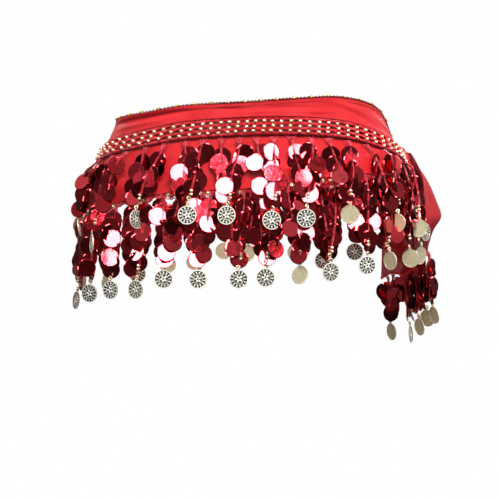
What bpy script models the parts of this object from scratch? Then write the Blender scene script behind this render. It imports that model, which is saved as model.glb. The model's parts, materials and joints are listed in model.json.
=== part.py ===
"""Belly dance hip scarf as worn, with no wearer: a chiffon strip round the hips, knotted at the right hip.

The wearer faces +Y, +X is the wearer's right and +Z is up. The origin is the middle of the hips, level with the
beaded band at the sides. Angles run round the hips in degrees from the middle of the back, positive towards the
right hip. "Proud" is the horizontal distance out from the hips, on which the cloth's inner face lies.
"""

import math
from collections import namedtuple

import bmesh
import bpy
from mathutils import Vector

# Driving dimensions, in metres and degrees
CLOTH = 0.0012
SEAM_GAP = 0.0003
STRIP_START = -241.0
STRIP_END = 101.0
STRIP_COLUMNS = 84
ROWS_ABOVE_BAND = 2
ROWS_BELOW_BAND = 4
ROUNDNESS = 2.3

# The hips as level sections, from low to high
Section = namedtuple("Section", "height half_width back_depth front_depth")
HIPS = (
    Section(-0.300, 0.1680, 0.128, 0.109),
    Section(-0.200, 0.1705, 0.132, 0.110),
    Section(-0.130, 0.1710, 0.134, 0.110),
    Section(-0.080, 0.1680, 0.132, 0.110),
    Section(-0.045, 0.1640, 0.128, 0.109),
    Section(-0.020, 0.1590, 0.123, 0.107),
    Section(0.000, 0.1520, 0.117, 0.104),
    Section(0.018, 0.1430, 0.111, 0.100),
    Section(0.035, 0.1360, 0.106, 0.096),
    Section(0.050, 0.1320, 0.102, 0.093),
    Section(0.075, 0.1285, 0.098, 0.090),
)

# The strip on its way round: the height of the bead band's middle, and the cloth above and below that line.
# It narrows at both ends, where it is drawn into the knot.
Strip = namedtuple("Strip", "angle band above below band_half")
STRIP = (
    Strip(-241, -0.0085, 0.0165, 0.0195, 0.0065),
    Strip(-233, -0.0050, 0.0225, 0.0280, 0.0078),
    Strip(-218, 0.0075, 0.0240, 0.0430, 0.0088),
    Strip(-180, 0.0280, 0.0185, 0.0580, 0.0090),
    Strip(-130, 0.0130, 0.0245, 0.0600, 0.0090),
    Strip(-90, 0.0000, 0.0340, 0.0605, 0.0090),
    Strip(-60, 0.0136, 0.0275, 0.0610, 0.0090),
    Strip(-35, 0.0250, 0.0245, 0.0600, 0.0090),
    Strip(0, 0.0300, 0.0235, 0.0600, 0.0090),
    Strip(28, 0.0298, 0.0272, 0.0515, 0.0090),
    Strip(48, 0.0252, 0.0325, 0.0425, 0.0090),
    Strip(68, 0.0125, 0.0370, 0.0350, 0.0090),
    Strip(84, -0.0005, 0.0350, 0.0290, 0.0086),
    Strip(94, -0.0060, 0.0235, 0.0235, 0.0076),
    Strip(101, -0.0085, 0.0165, 0.0195, 0.0065),
)

# Folds run out of the knot along the strip, below the band, and fade away over this angle
FOLD_COUNT = 2
FOLD_DEPTH = 0.0016
FOLD_FADE = 42.0

# The crocheted band: three ribs of beads on a plain backing
BAND_ROWS = 6
BAND_BACKING = 0.0016
BAND_RIB = 0.0012
EDGING_HEIGHT = 0.0022
EDGING_DEPTH = 0.0022

# Dangles: pairs of legs that run together like a V, of which one carries the coin
CHAIN_HEIGHT = 0.0022
CHAIN_BELOW_BAND = 0.0010
LEG_THICKNESS = 0.0015
ROOT_SHARE = 0.09
THREAD_WIDTH = 0.0030
LOCK_WIDTH = 0.0155
COIN_RADIUS = 0.0092
UNDER_ROOT = 0.0035
TOP_PAILLETTE = 0.0200
LOCK_ROUNDING = 0.0090
LOCK_TO_COIN = 0.0105
COIN_CORNERS = (157.5, 112.5, 67.5, 22.5)
LEGS_APART = 0.3
Row = namedtuple("Row", "below width share_out")
Leg = namedtuple("Leg", "root foot level with_coin")
Dangles = namedtuple("Dangles", "first step count coin_below inner_level outer_level")
UPPER = Dangles(-232.4, 17.10, 20, 0.0755, 0.0060, 0.0085)
LOWER = Dangles(-230.4, 13.15, 25, 0.0862, 0.0008, 0.0033)
TAIL_BACK_DANGLES = Dangles(0.14, 0.27, 3, 0.0745, 0.0008, 0.0033)
TAIL_FRONT_DANGLES = Dangles(0.17, 0.33, 3, 0.0745, 0.0008, 0.0033)

# The knot, as sections from the strip's end to its start: flared ends, two necks and the loop between them
KNOT_HEIGHT = -0.0095
KNOT_SIDES = 14
Knot = namedtuple("Knot", "angle half_height half_depth")
KNOT = (
    Knot(101.12, 0.0175, 0.0030),
    Knot(102.6, 0.0155, 0.0050),
    Knot(104.4, 0.0115, 0.0070),
    Knot(105.6, 0.0170, 0.0110),
    Knot(107.4, 0.0205, 0.0135),
    Knot(110.0, 0.0215, 0.0145),
    Knot(112.6, 0.0205, 0.0135),
    Knot(114.4, 0.0170, 0.0110),
    Knot(115.6, 0.0115, 0.0070),
    Knot(117.4, 0.0155, 0.0050),
    Knot(118.88, 0.0175, 0.0030),
)

# The free ends, as rows down their length. Each is an arch that bulges from its rear edge to its front edge.
TAIL_ROWS = 9
TAIL_COLUMNS = 8
TAIL_FOLD_COUNT = 2
TAIL_BAND_START = 4
TAIL_BAND_COLUMNS = 2
TAIL_BAND_ROWS = 8
Tail = namedtuple("Tail", "along height slant rear_angle front_angle rear_proud peak_proud front_proud fold")
TAIL_BACK = (
    Tail(0.00, -0.0010, 0.000, 107.2, 112.8, 0.0282, 0.0286, 0.0282, 0.0000),
    Tail(0.11, -0.0100, 0.000, 106.0, 114.0, 0.0286, 0.0296, 0.0286, 0.0000),
    Tail(0.30, -0.0290, 0.000, 101.0, 116.0, 0.0230, 0.0350, 0.0280, 0.0010),
    Tail(0.50, -0.0500, 0.000, 95.5, 118.0, 0.0150, 0.0400, 0.0265, 0.0020),
    Tail(0.65, -0.0670, 0.002, 92.8, 119.0, 0.0138, 0.0430, 0.0255, 0.0024),
    Tail(0.80, -0.0820, 0.003, 92.6, 118.5, 0.0124, 0.0280, 0.0200, 0.0018),
    Tail(1.00, -0.1050, 0.003, 92.8, 117.5, 0.0114, 0.0160, 0.0145, 0.0012),
)
TAIL_FRONT = (
    Tail(0.00, -0.0309, 0.000, 107.5, 113.5, 0.0125, 0.0165, 0.0125, 0.0000),
    Tail(0.25, -0.0540, 0.000, 105.0, 115.5, 0.0075, 0.0120, 0.0080, 0.0008),
    Tail(0.60, -0.0850, -0.005, 101.5, 118.0, 0.0045, 0.0080, 0.0050, 0.0014),
    Tail(1.00, -0.1210, -0.012, 100.0, 119.0, 0.0042, 0.0075, 0.0048, 0.0014),
)

Finish = namedtuple("Finish", "name colour roughness metallic")
CHIFFON = Finish("chiffon", (0.78, 0.02, 0.03), 0.62, 0.0)
CROCHET = Finish("crochet", (0.62, 0.02, 0.04), 0.50, 0.0)
PAILLETTE = Finish("paillette", (0.32, 0.01, 0.02), 0.18, 0.9)


def between(table, key):
    """The row of a table at a key between its rows, on smooth curves through them."""
    last = len(table) - 1
    low = max(i for i in range(last) if i == 0 or table[i][0] <= key)
    first, second = table[low], table[low + 1]
    before, after = table[max(low - 1, 0)], table[min(low + 2, last)]
    span = second[0] - first[0]
    t = min(max((key - first[0]) / span, 0.0), 1.0)
    found = []
    for b, f, s, a in zip(before, first, second, after):
        slope_in = (s - b) / (second[0] - before[0]) * span
        slope_out = (a - f) / (after[0] - first[0]) * span
        found.append(
            (2 * t**3 - 3 * t**2 + 1) * f
            + (t**3 - 2 * t**2 + t) * slope_in
            + (3 * t**2 - 2 * t**3) * s
            + (t**3 - t**2) * slope_out
        )
    return type(first)(*found)


def hip_point(angle, height, proud=0.0):
    """A point on the hips, or this far proud of them, and the level direction out of them there."""
    section = between(HIPS, height)
    turn = math.radians(angle)
    across, back = math.sin(turn), -math.cos(turn)
    width = section.half_width
    depth = section.back_depth if back < 0 else section.front_depth
    radius = (abs(across / width) ** ROUNDNESS + abs(back / depth) ** ROUNDNESS) ** (-1 / ROUNDNESS)
    x, y = radius * across, radius * back
    steep = ROUNDNESS - 1
    out = Vector(
        (
            math.copysign(abs(x) ** steep / width**ROUNDNESS, x),
            math.copysign(abs(y) ** steep / depth**ROUNDNESS, y),
            0.0,
        )
    ).normalized()
    return Vector((x, y, height)) + out * proud, out


def fold(angle, height):
    """How far the gathers near the knot lift the cloth: nothing at the band and at the hem."""
    strip = between(STRIP, angle)
    to_knot = min(STRIP_END - angle, angle - STRIP_START)
    nearness = max(0.0, 1 - to_knot / FOLD_FADE) ** 2
    share = (strip.band - strip.band_half - height) / (strip.below - strip.band_half)
    if not 0 < share < 1:
        return 0.0
    return FOLD_DEPTH * nearness * (1 - math.cos(2 * math.pi * FOLD_COUNT * share)) / 2


def cloth_point(angle, height, proud=0.0):
    """A point on the strip's inner face, or this far proud of it."""
    return hip_point(angle, height, proud + fold(angle, height))[0]


def strip_angle(share):
    return STRIP_START + (STRIP_END - STRIP_START) * share


def material(finish):
    """A plain surface of this finish, made once."""
    made = bpy.data.materials.get(finish.name)
    if made is None:
        made = bpy.data.materials.new(finish.name)
        made.use_nodes = True
        surface = made.node_tree.nodes["Principled BSDF"]
        surface.inputs["Base Color"].default_value = (*finish.colour, 1.0)
        surface.inputs["Roughness"].default_value = finish.roughness
        surface.inputs["Metallic"].default_value = finish.metallic
    return made


def add_object(name, bm, finish):
    """An object of this mesh in the scarf's collection."""
    mesh = bpy.data.meshes.new(name)
    bm.to_mesh(mesh)
    bm.free()
    mesh.materials.append(material(finish))
    made = bpy.data.objects.new(name, mesh)
    collection.objects.link(made)
    return made


def face_outwards(bm):
    """Turns the faces of an open sheet round the hips so that they look away from the middle."""
    bmesh.ops.recalc_face_normals(bm, faces=bm.faces)
    if sum(face.normal.dot(face.calc_center_median()) for face in bm.faces) < 0:
        bmesh.ops.reverse_faces(bm, faces=bm.faces)


def face_solid_outwards(bm):
    """Turns the faces of a closed solid outwards."""
    bmesh.ops.recalc_face_normals(bm, faces=bm.faces)
    if bm.calc_volume(signed=True) < 0:
        bmesh.ops.reverse_faces(bm, faces=bm.faces)


def add_sheet(name, columns, rows, place, finish, thickness=CLOTH):
    """A flat grid laid out by place(across, down), both from 0 to 1, and thickened outwards."""
    bm = bmesh.new()
    bmesh.ops.create_grid(bm, x_segments=columns, y_segments=rows, size=0.5)
    for vert in bm.verts:
        vert.co = place(vert.co.x + 0.5, 0.5 - vert.co.y)
    face_outwards(bm)
    made = add_object(name, bm, finish)
    thicken(made, thickness)
    return made


def thicken(sheet, thickness):
    wall = sheet.modifiers.new("wall", "SOLIDIFY")
    wall.thickness = thickness
    wall.offset = 1.0


def add_raised(name, columns, rows, inner, outer, finish):
    """A wall with a plain inside and a raised outside, each laid out by its own place(across, down)."""
    bm = bmesh.new()
    bmesh.ops.create_grid(bm, x_segments=columns, y_segments=rows, size=0.5)
    inside = list(bm.verts)
    raised = bmesh.ops.extrude_face_region(bm, geom=bm.faces[:], use_keep_orig=True)["geom"]
    outside = [item for item in raised if isinstance(item, bmesh.types.BMVert)]
    for verts, place in ((inside, inner), (outside, outer)):
        for vert in verts:
            vert.co = place(vert.co.x + 0.5, 0.5 - vert.co.y)
    face_solid_outwards(bm)
    return add_object(name, bm, finish)


def add_wrap_cloth():
    """The strip from knot to knot. Some of its rows are above the band, one is behind it, the rest are below."""
    rows = ROWS_ABOVE_BAND + 1 + ROWS_BELOW_BAND

    def place(across, down):
        angle = strip_angle(across)
        strip = between(STRIP, angle)
        row = down * rows
        if row <= ROWS_ABOVE_BAND:
            share = row / ROWS_ABOVE_BAND
            height = strip.band + strip.above + (strip.band_half - strip.above) * share
        else:
            share = max(0.0, row - ROWS_ABOVE_BAND - 1) / ROWS_BELOW_BAND
            height = strip.band - strip.band_half + (strip.band_half - strip.below) * share
        return cloth_point(angle, height)

    add_sheet("wrap_cloth", STRIP_COLUMNS, rows, place, CHIFFON)


def add_bead_band():
    """The crocheted band on the outside of the strip, with a rib for each row of beads."""

    def point(across, down, depth):
        angle = strip_angle(across)
        strip = between(STRIP, angle)
        proud = CLOTH + SEAM_GAP + depth
        top = cloth_point(angle, strip.band + strip.band_half, proud)
        bottom = cloth_point(angle, strip.band - strip.band_half, proud)
        return top.lerp(bottom, down)

    def inner(across, down):
        return point(across, down, 0.0)

    def outer(across, down):
        on_rib = round(down * BAND_ROWS) % 2
        return point(across, down, BAND_BACKING + BAND_RIB * on_rib)

    add_raised("bead_band", STRIP_COLUMNS, BAND_ROWS, inner, outer, CROCHET)


def add_top_edging():
    """The narrow crocheted edging that stands on the top hem."""

    def place(across, down):
        angle = strip_angle(across)
        strip = between(STRIP, angle)
        height = strip.band + strip.above + SEAM_GAP + EDGING_HEIGHT * (1 - down)
        return cloth_point(angle, height, (CLOTH - EDGING_DEPTH) / 2)

    add_sheet("top_edging", STRIP_COLUMNS, 1, place, CROCHET, EDGING_DEPTH)


def leg_rows(dangles, with_coin):
    """A leg's outline downwards: its thread, the scales of paillettes on it and, on one leg, the coin."""
    lock_end = dangles.coin_below - COIN_RADIUS - LOCK_TO_COIN
    rows = [
        Row(UNDER_ROOT, THREAD_WIDTH, 0.5),
        Row(UNDER_ROOT * 2, LOCK_WIDTH * 0.8, 0.9),
        Row(TOP_PAILLETTE, LOCK_WIDTH, 1.0),
        Row(lock_end - LOCK_ROUNDING, LOCK_WIDTH, 1.0),
        Row(lock_end, LOCK_WIDTH * 0.65, 1.0),
        Row(lock_end + THREAD_WIDTH, THREAD_WIDTH, 1.0),
    ]
    if with_coin:
        rows.append(Row(dangles.coin_below - COIN_RADIUS, THREAD_WIDTH, 1.0))
        for corner in COIN_CORNERS:
            turn = math.radians(corner)
            below = dangles.coin_below + COIN_RADIUS * math.cos(turn)
            rows.append(Row(below, 2 * COIN_RADIUS * math.sin(turn), 1.0))
    return rows


def add_fringe(name, dangles, backing, hang):
    """A chain with the dangles' legs grown out of it. hang(place, side, below, proud) gives a point of it, where
    place runs along the chain, side is the distance beside that place, and backing is the chain's own proud."""
    legs = []
    for i in range(dangles.count):
        coin = dangles.first + dangles.step * i
        spread = dangles.step / 4
        legs.append(Leg(coin - spread, coin, dangles.inner_level, True))
        legs.append(Leg(coin + spread, coin + spread * LEGS_APART, dangles.outer_level, False))

    bm = bmesh.new()
    half_root = dangles.step * ROOT_SHARE / 2

    def chain(place):
        return [hang(place, 0.0, below, backing) for below in (-CHAIN_HEIGHT, 0.0)]

    ends = [bm.verts.new(point) for point in chain(legs[0].root - half_root)]
    bm.edges.new(ends)
    for leg, following in zip(legs, legs[1:] + [None]):
        left = ends
        right = extrude(bm, left, chain(leg.root + half_root))
        hem = [left[1], right[1]]
        for row in leg_rows(dangles, leg.with_coin):
            share = min(row.below / dangles.coin_below, 1.0)
            place = leg.root + (leg.foot - leg.root) * share
            proud = backing + (leg.level - backing) * row.share_out
            sides = (-row.width / 2, row.width / 2)
            hem = extrude(bm, hem, [hang(place, side, row.below, proud) for side in sides])
        if following:
            middle = extrude(bm, right, chain((leg.root + following.root) / 2))
            ends = extrude(bm, middle, chain(following.root - half_root))
    face_outwards(bm)
    thicken(add_object(name, bm, PAILLETTE), LEG_THICKNESS)


def extrude(bm, ends, places):
    """Extrudes the edge between two points and moves its copy to two places, in the same order."""
    made = bmesh.ops.extrude_edge_only(bm, edges=[bm.edges.get(ends)])["geom"]
    new = [item for item in made if isinstance(item, bmesh.types.BMVert)]
    new.sort(key=lambda vert: (vert.co - ends[0].co).length)
    for vert, place in zip(new, places):
        vert.co = place
    return new


def strip_hanger(chain_height):
    """Hangs things from a line round the strip, whose height at each angle chain_height(strip) gives."""

    def hang(angle, side, below, proud):
        height = chain_height(between(STRIP, angle)) - below
        point, out = hip_point(angle, height, proud + fold(angle, height))
        return point + Vector((-out.y, out.x, 0)) * side

    return hang


def add_strip_fringes():
    """The dangles under the bead band, and those under the lower hem, which hang closer to the hips."""
    under_band = strip_hanger(lambda strip: strip.band - strip.band_half - CHAIN_BELOW_BAND - CHAIN_HEIGHT)
    under_hem = strip_hanger(lambda strip: strip.band - strip.below - SEAM_GAP - CHAIN_HEIGHT)
    add_fringe("fringe_upper", UPPER, CLOTH + 3 * SEAM_GAP, under_band)
    add_fringe("fringe_lower", LOWER, 0.0, under_hem)


def add_knot():
    """The knot, lofted through oval sections from one end of the strip to the other."""
    bm = bmesh.new()
    bmesh.ops.create_cone(
        bm, cap_ends=True, segments=KNOT_SIDES, radius1=1.0, radius2=1.0, depth=len(KNOT) - 1
    )
    for i in range(1, len(KNOT) - 1):
        cut = i - (len(KNOT) - 1) / 2
        bmesh.ops.bisect_plane(
            bm, geom=bm.verts[:] + bm.edges[:] + bm.faces[:], plane_co=(0, 0, cut), plane_no=(0, 0, 1)
        )
    for vert in bm.verts:
        knot = KNOT[round(vert.co.z + (len(KNOT) - 1) / 2)]
        height = KNOT_HEIGHT + knot.half_height * vert.co.y
        proud = knot.half_depth * (1 + vert.co.x)
        vert.co = hip_point(knot.angle, height, proud)[0]
    face_solid_outwards(bm)
    add_object("knot", bm, CHIFFON)


def tail_point(tail, across, along):
    """A point on a free end, from its rear edge to its front edge and from the knot down."""
    row = between(tail, along)
    angle = row.rear_angle + (row.front_angle - row.rear_angle) * across
    edge = row.rear_proud + (row.front_proud - row.rear_proud) * across
    bulge = (row.peak_proud - (row.rear_proud + row.front_proud) / 2) * math.sin(math.pi * across)
    pleat = row.fold * math.sin(2 * math.pi * TAIL_FOLD_COUNT * across)
    return hip_point(angle, row.height + row.slant * across, edge + bulge + pleat)[0]


def add_tail(name, tail):
    add_sheet(name, TAIL_COLUMNS, TAIL_ROWS, lambda across, down: tail_point(tail, across, down), CHIFFON)


def tail_normal(tail, across, along):
    """The direction out of a free end's face."""
    step = 0.02
    sideways = tail_point(tail, across + step, along) - tail_point(tail, across - step, along)
    upwards = tail_point(tail, across, max(along - step, 0)) - tail_point(tail, across, min(along + step, 1))
    return sideways.cross(upwards).normalized()


def add_tail_band(name, tail):
    """The bead band where it runs down a free end, over whole columns and rows of the cloth's grid."""

    def place(across, down):
        column = (TAIL_BAND_START + TAIL_BAND_COLUMNS * across) / TAIL_COLUMNS
        along = down * TAIL_BAND_ROWS / TAIL_ROWS
        return tail_point(tail, column, along) + tail_normal(tail, column, along) * (CLOTH + 2 * SEAM_GAP)

    add_sheet(name, TAIL_BAND_COLUMNS, TAIL_BAND_ROWS, place, CROCHET, BAND_BACKING)


def add_tail_fringe(name, tail, dangles):
    """The dangles along the lower edge of a free end."""

    def hang(across, side, below, proud):
        edge = tail_point(tail, across, 1.0)
        drop = 3 * SEAM_GAP + CHAIN_HEIGHT + below
        ahead = tail_point(tail, across + 0.02, 1.0) - edge
        sideways = Vector((ahead.x, ahead.y, 0)).normalized()
        out = Vector((sideways.y, -sideways.x, 0))
        return edge + sideways * side + out * proud - Vector((0, 0, drop))

    add_fringe(name, dangles, 0.0, hang)


for old in list(bpy.data.objects):
    bpy.data.objects.remove(old)
collection = bpy.data.collections.new("hip_scarf")
bpy.context.scene.collection.children.link(collection)

add_wrap_cloth()
add_bead_band()
add_top_edging()
add_strip_fringes()
add_knot()
for side, tail, dangles in (("back", TAIL_BACK, TAIL_BACK_DANGLES), ("front", TAIL_FRONT, TAIL_FRONT_DANGLES)):
    add_tail(f"tail_{side}", tail)
    add_tail_band(f"tail_{side}_band", tail)
    add_tail_fringe(f"tail_{side}_fringe", tail, dangles)
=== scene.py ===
"""The looks of a belly dance hip scarf, worn with no wearer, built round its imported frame.

The wearer faces +Y, +X is the wearer's right and +Z is up. Angles run round the hips in degrees from the
middle of the back, positive towards the right hip. "Proud" is the level distance out from the hips.
"""

import json
import math
from collections import namedtuple
from functools import partial

import bpy
import numpy as np
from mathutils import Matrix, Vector

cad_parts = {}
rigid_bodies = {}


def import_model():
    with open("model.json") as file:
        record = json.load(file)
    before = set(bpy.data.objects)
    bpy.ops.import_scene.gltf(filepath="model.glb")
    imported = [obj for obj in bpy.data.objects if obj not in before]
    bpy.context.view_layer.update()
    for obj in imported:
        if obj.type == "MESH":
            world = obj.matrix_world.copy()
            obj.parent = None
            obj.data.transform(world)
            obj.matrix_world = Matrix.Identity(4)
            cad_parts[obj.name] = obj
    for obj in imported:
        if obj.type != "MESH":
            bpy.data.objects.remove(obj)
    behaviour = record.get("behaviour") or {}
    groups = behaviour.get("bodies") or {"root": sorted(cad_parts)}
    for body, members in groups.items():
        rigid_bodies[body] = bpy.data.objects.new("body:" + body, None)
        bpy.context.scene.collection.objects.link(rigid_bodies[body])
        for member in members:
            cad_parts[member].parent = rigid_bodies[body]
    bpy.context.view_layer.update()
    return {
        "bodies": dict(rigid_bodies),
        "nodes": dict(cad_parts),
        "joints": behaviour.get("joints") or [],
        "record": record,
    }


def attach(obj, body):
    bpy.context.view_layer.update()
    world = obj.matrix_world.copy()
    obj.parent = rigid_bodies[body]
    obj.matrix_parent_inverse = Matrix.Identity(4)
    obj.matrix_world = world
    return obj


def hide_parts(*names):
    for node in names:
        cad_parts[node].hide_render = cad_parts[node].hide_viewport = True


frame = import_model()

UP = np.array((0, 0, 1.0))


# The strip
# One long strip of sheer polyester chiffon, about 90 mm wide where it lies on the hips, hemmed all round.
# It is wrapped once round the hips and pulled tight at the right hip, so it lies smooth, with a few long
# soft creases that run along it and out of the knot.
CLOTH_WALL = 0.0006
CLOTH_LEVEL = 0.0003
HEM_ROLL = 0.0007
STRIP_START, STRIP_END = -241.0, 101.0
STRIP_COLUMNS, STRIP_ROWS = 300, 100
ROUNDNESS = 2.3

Section = namedtuple("Section", "height half_width back_depth front_depth")
HIPS = (
    Section(-0.300, 0.1680, 0.128, 0.109),
    Section(-0.200, 0.1705, 0.132, 0.110),
    Section(-0.130, 0.1710, 0.134, 0.110),
    Section(-0.080, 0.1680, 0.132, 0.110),
    Section(-0.045, 0.1640, 0.128, 0.109),
    Section(-0.020, 0.1590, 0.123, 0.107),
    Section(0.000, 0.1520, 0.117, 0.104),
    Section(0.018, 0.1430, 0.111, 0.100),
    Section(0.035, 0.1360, 0.106, 0.096),
    Section(0.050, 0.1320, 0.102, 0.093),
    Section(0.075, 0.1285, 0.098, 0.090),
)
Strip = namedtuple("Strip", "angle band above below band_half")
STRIP = (
    Strip(-241, -0.0085, 0.0165, 0.0195, 0.0065),
    Strip(-233, -0.0050, 0.0225, 0.0280, 0.0078),
    Strip(-218, 0.0075, 0.0240, 0.0430, 0.0088),
    Strip(-180, 0.0280, 0.0185, 0.0580, 0.0090),
    Strip(-130, 0.0130, 0.0245, 0.0600, 0.0090),
    Strip(-90, 0.0000, 0.0340, 0.0605, 0.0090),
    Strip(-60, 0.0136, 0.0275, 0.0610, 0.0090),
    Strip(-35, 0.0250, 0.0245, 0.0600, 0.0090),
    Strip(0, 0.0300, 0.0235, 0.0600, 0.0090),
    Strip(28, 0.0298, 0.0272, 0.0515, 0.0090),
    Strip(48, 0.0252, 0.0325, 0.0425, 0.0090),
    Strip(68, 0.0125, 0.0370, 0.0350, 0.0090),
    Strip(84, -0.0005, 0.0350, 0.0290, 0.0086),
    Strip(94, -0.0060, 0.0235, 0.0235, 0.0076),
    Strip(101, -0.0085, 0.0165, 0.0195, 0.0065),
)
FOLD_COUNT = 2
FOLD_DEPTH = 0.0016
FOLD_FADE = 42.0

# Soft creases: where each one's middle is, how far from the band's middle line, how long and how far it
# rises along its length, how deep it is and how wide. Depth is positive for a ridge and negative for a
# trough. They die away over the fade beside the band.
CREASE_FADE = 0.006
Crease = namedtuple("Crease", "angle height length rise depth width")
CREASES = (
    Crease(-52, 0.0262, 70, -0.0052, 0.0018, 0.0026),
    Crease(-54, 0.0222, 66, -0.0052, -0.0022, 0.0027),
    Crease(-58, 0.0165, 46, -0.0030, 0.0013, 0.0026),
    Crease(-10, 0.0175, 30, -0.0012, -0.0010, 0.0017),
    Crease(4, 0.0135, 24, 0.0008, 0.0008, 0.0015),
    Crease(20, 0.0180, 38, 0.0016, -0.0011, 0.0019),
    Crease(34, 0.0150, 26, 0.0026, 0.0010, 0.0018),
    Crease(52, 0.0255, 42, -0.0030, 0.0009, 0.0028),
    Crease(60, 0.0175, 40, -0.0066, -0.0009, 0.0028),
    Crease(78, 0.0205, 34, -0.0095, 0.0013, 0.0032),
    Crease(86, 0.0145, 24, -0.0055, -0.0012, 0.0024),
    Crease(58, -0.0195, 36, 0.0090, 0.0015, 0.0034),
    Crease(36, -0.0290, 44, 0.0120, -0.0016, 0.0036),
    Crease(10, -0.0420, 48, 0.0060, 0.0015, 0.0042),
    Crease(-6, -0.0190, 26, 0.0020, -0.0010, 0.0026),
    Crease(-24, -0.0270, 34, -0.0050, 0.0012, 0.0032),
    Crease(-48, -0.0400, 42, -0.0080, -0.0014, 0.0038),
    Crease(-74, -0.0210, 30, 0.0040, -0.0012, 0.0028),
    Crease(-92, -0.0320, 48, 0.0100, 0.0016, 0.0042),
    Crease(-104, 0.0215, 40, 0.0030, -0.0015, 0.0022),
    Crease(-130, 0.0165, 46, -0.0030, 0.0014, 0.0026),
    Crease(-142, -0.0380, 50, -0.0070, -0.0015, 0.0040),
    Crease(-168, 0.0140, 28, 0.0012, -0.0010, 0.0018),
    Crease(-186, -0.0300, 44, 0.0080, 0.0015, 0.0036),
    Crease(-200, 0.0160, 36, 0.0040, 0.0013, 0.0024),
    Crease(-214, -0.0220, 36, 0.0060, -0.0016, 0.0030),
    Crease(-226, 0.0145, 26, 0.0060, -0.0014, 0.0020),
)


def read_table(table, keys):
    """The columns of a table at these keys, on smooth curves through its rows."""
    rows = np.array(table, dtype=float)
    keys = np.clip(np.asarray(keys, dtype=float), rows[0, 0], rows[-1, 0])
    low = np.clip(np.searchsorted(rows[:, 0], keys, side="right") - 1, 0, len(rows) - 2)
    first, second = rows[low], rows[low + 1]
    before = rows[np.maximum(low - 1, 0)]
    after = rows[np.minimum(low + 2, len(rows) - 1)]
    span = (second[..., :1] - first[..., :1])
    t = (keys[..., None] - first[..., :1]) / span
    slope_in = (second - before) / (second[..., :1] - before[..., :1]) * span
    slope_out = (after - first) / (after[..., :1] - first[..., :1]) * span
    found = (
        (2 * t**3 - 3 * t**2 + 1) * first
        + (t**3 - 2 * t**2 + t) * slope_in
        + (3 * t**2 - 2 * t**3) * second
        + (t**3 - t**2) * slope_out
    )
    return type(table[0])(*np.moveaxis(found, -1, 0))


def as_arrays(*parts):
    """Numbers and arrays as arrays of one shape."""
    return np.broadcast_arrays(*(np.asarray(part, dtype=float) for part in parts))


def hip_point(angle, height, proud):
    """Points this far proud of the hips, and the level directions out of them there."""
    angle, height, proud = as_arrays(angle, height, proud)
    section = read_table(HIPS, height)
    across, back = np.sin(np.radians(angle)), -np.cos(np.radians(angle))
    depth = np.where(back < 0, section.back_depth, section.front_depth)
    width = section.half_width
    radius = (np.abs(across / width) ** ROUNDNESS + np.abs(back / depth) ** ROUNDNESS) ** (-1 / ROUNDNESS)
    x, y = radius * across, radius * back
    steep = ROUNDNESS - 1
    out = np.stack(
        [
            np.sign(x) * np.abs(x) ** steep / width**ROUNDNESS,
            np.sign(y) * np.abs(y) ** steep / depth**ROUNDNESS,
            np.zeros_like(x),
        ],
        axis=-1,
    )
    out /= np.linalg.norm(out, axis=-1, keepdims=True)
    return np.stack([x, y, height], axis=-1) + out * proud[..., None], out


def strip_angle(share):
    """The angle at this share of the strip's length."""
    return STRIP_START + (STRIP_END - STRIP_START) * share


def strip_share(angle):
    """The share of the strip's length at this angle."""
    return (angle - STRIP_START) / (STRIP_END - STRIP_START)


def fold(angle, height):
    """How far the gathers near the knot lift the cloth: nothing at the band and at the hem."""
    strip = read_table(STRIP, angle)
    to_knot = np.minimum(STRIP_END - angle, angle - STRIP_START)
    nearness = np.maximum(0.0, 1 - to_knot / FOLD_FADE) ** 2
    share = (strip.band - strip.band_half - height) / (strip.below - strip.band_half)
    wave = FOLD_DEPTH * nearness * (1 - np.cos(2 * math.pi * FOLD_COUNT * share)) / 2
    return np.where((share > 0) & (share < 1), wave, 0.0)


def creases(angle, above_band, half_band):
    """The lift of the soft creases, which die away under the band and at the hems."""
    lift = np.zeros_like(angle)
    for crease in CREASES:
        along = (angle - crease.angle) / (crease.length / 2)
        inside = np.clip(1 - along**2, 0, 1) ** 2
        off = (above_band - crease.height - crease.rise * along) / crease.width
        lift += crease.depth * inside * np.exp(-(off**2))
    clear_of_band = np.clip((np.abs(above_band) - half_band) / CREASE_FADE, 0, 1)
    return lift * clear_of_band


def linear(code, alpha=1.0):
    """An sRGB hex colour as Blender's linear colour."""
    parts = [int(code[i : i + 2], 16) / 255 for i in (0, 2, 4)]
    return (*(c / 12.92 if c <= 0.04045 else ((c + 0.055) / 1.055) ** 2.4 for c in parts), alpha)


def new_material(name):
    """A material with one Principled shader, its node tree and that shader."""
    made = bpy.data.materials.new(name)
    made.use_nodes = True
    return made, made.node_tree, made.node_tree.nodes["Principled BSDF"]


def add_node(tree, kind, settings=(), inputs=(), links=()):
    """A node with its settings, its input values and the sockets that its inputs are linked to."""
    node = tree.nodes.new(kind)
    for name, value in dict(settings).items():
        setattr(node, name, value)
    for name, value in dict(inputs).items():
        node.inputs[name].default_value = value
    for name, socket in dict(links).items():
        tree.links.new(socket, node.inputs[name])
    return node


def set_shader(shader, **values):
    """Sets a shader's own sockets, each named with underscores for its spaces."""
    for name, value in values.items():
        shader.inputs[name.replace("_", " ")].default_value = value


def noise(tree, scale, detail):
    """Noise in metres of the piece, with 1 / scale as its size."""
    place = add_node(tree, "ShaderNodeTexCoord").outputs["Object"]
    inputs = {"Scale": scale, "Detail": detail}
    return add_node(tree, "ShaderNodeTexNoise", inputs=inputs, links={"Vector": place}).outputs["Fac"]


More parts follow.
